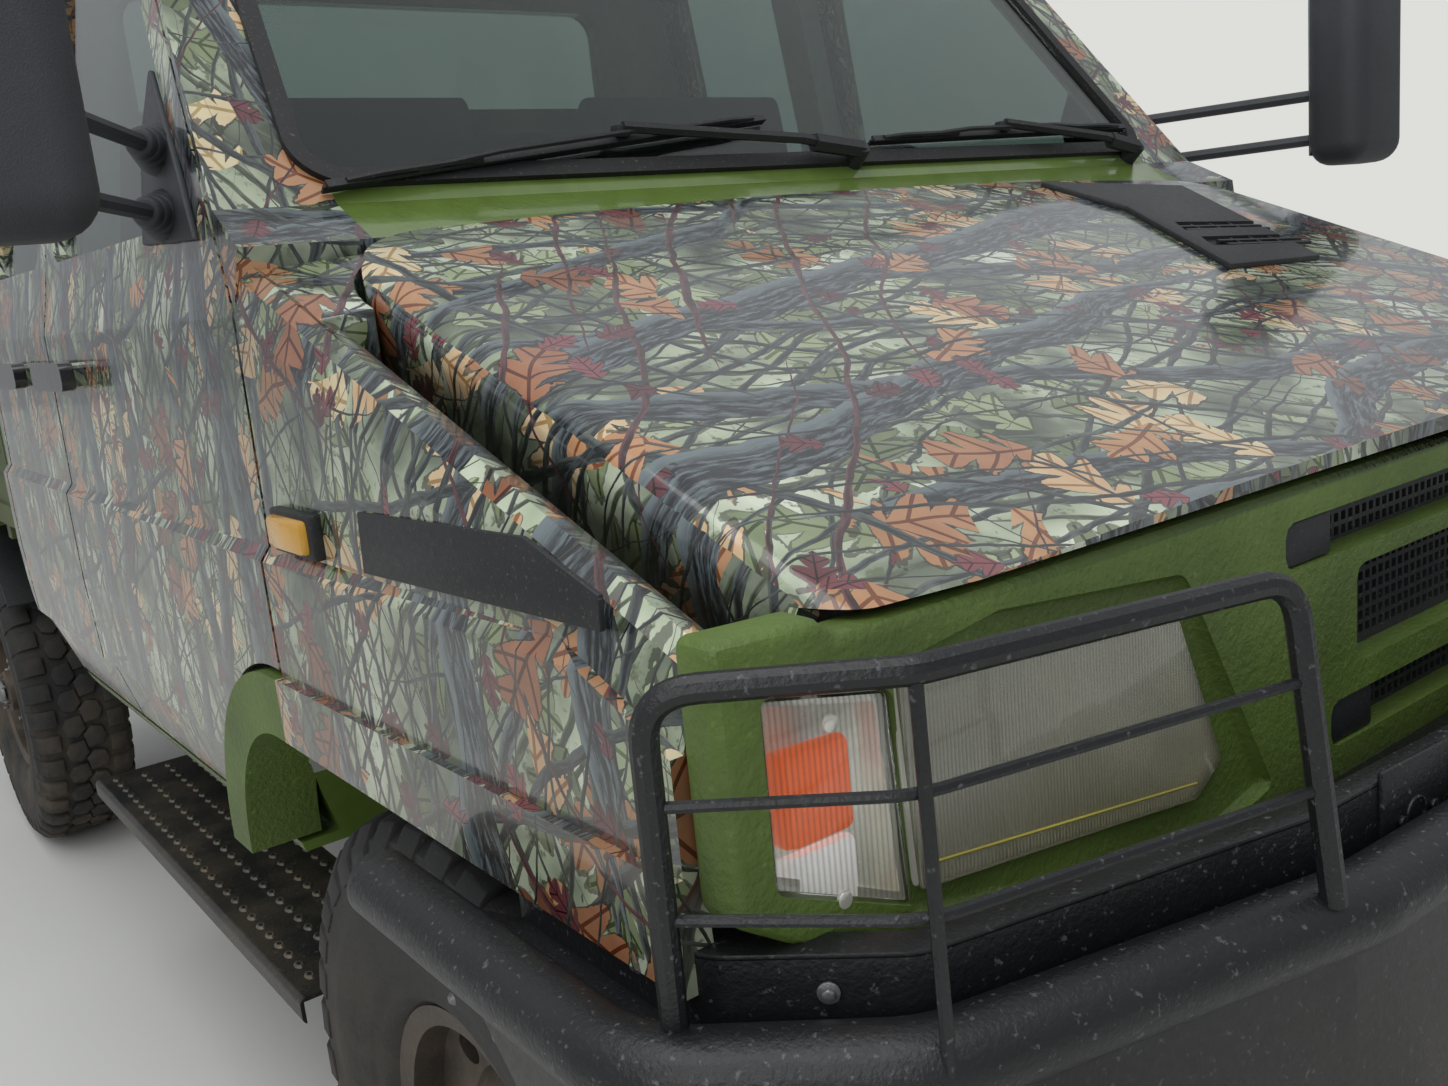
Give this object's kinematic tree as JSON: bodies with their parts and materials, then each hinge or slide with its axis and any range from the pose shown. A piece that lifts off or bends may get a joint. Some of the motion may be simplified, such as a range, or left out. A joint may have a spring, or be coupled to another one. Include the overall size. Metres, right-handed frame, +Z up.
{
  "type": "military cargo truck",
  "caption": "Light off-road cargo truck with a four-door cab, drop-side bed, steel bumper with lamp guards and camouflage wrap; wheels, steering, doors, bonnet and boards move.",
  "frame": {"origin": "on the ground, under the middle of the bounding box", "axes": "+X to the vehicle's left, +Y to its rear, +Z up"},
  "size_m": [2.6, 4.8999, 2.4319],
  "materials": {
    "camo_wrap": "gloss",
    "olive_paint": "satin",
    "bed_paint": "satin",
    "black_steel": "satin",
    "chassis_black": "matte",
    "engine_grey": "matte",
    "rim_steel": "satin",
    "tyre_rubber": "matte",
    "black_rubber": "matte",
    "black_plastic": "matte",
    "lamp_glass": "gloss",
    "signal_lens": "gloss",
    "pane": "gloss",
    "dash_plastic": "matte",
    "seat_fabric": "matte"
  },
  "bodies": {
    "chassis": {"ladder_frame": "chassis_black", "front_axle": "chassis_black", "rear_axle": "chassis_black", "driveline": "chassis_black", "fuel_tank": "chassis_black", "engine": "engine_grey", "radiator": "engine_grey", "cab_shell": "olive_paint", "arch_lip_left": "olive_paint", "arch_lip_right": "olive_paint", "windscreen_seal": "black_rubber", "cab_glass": "pane", "wing_left": "camo_wrap", "wing_right": "camo_wrap", "front_panel": "olive_paint", "grille": "black_plastic", "headlamps": "lamp_glass", "signal_lamps": "signal_lens", "bumper": "black_steel", "lamp_guards": "black_steel", "step_left": "black_steel", "step_right": "black_steel", "dashboard": "dash_plastic", "front_seats": "seat_fabric", "rear_seat": "seat_fabric", "bed_deck": "bed_paint", "headboard": "bed_paint", "rear_mudguards": "black_plastic"},
    "bonnet": {"bonnet": "camo_wrap"},
    "steering_wheel": {"steering_wheel": "dash_plastic"},
    "tailgate": {"tailgate": "bed_paint"},
    "front_door_left": {"door_front_left": "camo_wrap", "door_glass_front_left": "pane", "mirror_left": "black_plastic"},
    "rear_door_left": {"door_rear_left": "camo_wrap", "door_glass_rear_left": "pane"},
    "side_board_left": {"side_board_left": "bed_paint"},
    "knuckle_left": {"knuckle_left": "chassis_black"},
    "wheel_front_left": {"tyre_front_left": "tyre_rubber", "rim_front_left": "rim_steel"},
    "wheel_rear_left": {"tyre_rear_left": "tyre_rubber", "rim_rear_left": "rim_steel"},
    "front_door_right": {"door_front_right": "camo_wrap", "door_glass_front_right": "pane", "mirror_right": "black_plastic"},
    "rear_door_right": {"door_rear_right": "camo_wrap", "door_glass_rear_right": "pane"},
    "side_board_right": {"side_board_right": "bed_paint"},
    "knuckle_right": {"knuckle_right": "chassis_black"},
    "wheel_front_right": {"tyre_front_right": "tyre_rubber", "rim_front_right": "rim_steel"},
    "wheel_rear_right": {"tyre_rear_right": "tyre_rubber", "rim_rear_right": "rim_steel"}
  },
  "joints": [
    {"name": "steer_left", "type": "hinge", "parent": "chassis", "child": "knuckle_left", "pos_m": [0.72, -1.6, 0.445], "axis": [0, 0, 1], "range_deg": [-32, 32]},
    {"name": "wheel_front_left_spin", "type": "hinge", "parent": "knuckle_left", "child": "wheel_front_left", "pos_m": [0.827, -1.6, 0.445], "axis": [1, 0, 0], "continuous": true},
    {"name": "wheel_rear_left_spin", "type": "hinge", "parent": "chassis", "child": "wheel_rear_left", "pos_m": [0.827, 1.35, 0.445], "axis": [1, 0, 0], "continuous": true},
    {"name": "front_door_left_hinge", "type": "hinge", "parent": "chassis", "child": "front_door_left", "pos_m": [0.975, -1.344, 1.1], "axis": [0, 0, -1], "range_deg": [0, 60]},
    {"name": "rear_door_left_hinge", "type": "hinge", "parent": "chassis", "child": "rear_door_left", "pos_m": [0.975, -0.321, 1.1], "axis": [0, 0, -1], "range_deg": [0, 60]},
    {"name": "side_board_left_hinge", "type": "hinge", "parent": "chassis", "child": "side_board_left", "pos_m": [0.955, 1.42, 1.01], "axis": [0, 1, 0], "range_deg": [0, 170]},
    {"name": "steer_right", "type": "hinge", "parent": "chassis", "child": "knuckle_right", "pos_m": [-0.72, -1.6, 0.445], "axis": [0, 0, 1], "range_deg": [-32, 32]},
    {"name": "wheel_front_right_spin", "type": "hinge", "parent": "knuckle_right", "child": "wheel_front_right", "pos_m": [-0.827, -1.6, 0.445], "axis": [1, 0, 0], "continuous": true},
    {"name": "wheel_rear_right_spin", "type": "hinge", "parent": "chassis", "child": "wheel_rear_right", "pos_m": [-0.827, 1.35, 0.445], "axis": [1, 0, 0], "continuous": true},
    {"name": "front_door_right_hinge", "type": "hinge", "parent": "chassis", "child": "front_door_right", "pos_m": [-0.975, -1.344, 1.1], "axis": [0, 0, 1], "range_deg": [0, 60]},
    {"name": "rear_door_right_hinge", "type": "hinge", "parent": "chassis", "child": "rear_door_right", "pos_m": [-0.975, -0.321, 1.1], "axis": [0, 0, 1], "range_deg": [0, 60]},
    {"name": "side_board_right_hinge", "type": "hinge", "parent": "chassis", "child": "side_board_right", "pos_m": [-0.955, 1.42, 1.01], "axis": [0, -1, 0], "range_deg": [0, 170]},
    {"name": "steering_wheel_turn", "type": "hinge", "parent": "chassis", "child": "steering_wheel", "pos_m": [0.4, -0.9, 1.44], "axis": [0, 0.848, 0.5299], "range_deg": [-540, 540]},
    {"name": "bonnet_hinge", "type": "hinge", "parent": "chassis", "child": "bonnet", "pos_m": [0, -1.374, 1.497], "axis": [-1, 0, 0], "range_deg": [0, 55]},
    {"name": "tailgate_hinge", "type": "hinge", "parent": "chassis", "child": "tailgate", "pos_m": [0, 2.45, 1.01], "axis": [-1, 0, 0], "range_deg": [0, 170]}
  ],
  "couplings": [
    {"joint": "steer_right", "follows": "steer_left", "ratio": 1},
    {"joint": "steering_wheel_turn", "follows": "steer_left", "ratio": 16.875}
  ]
}
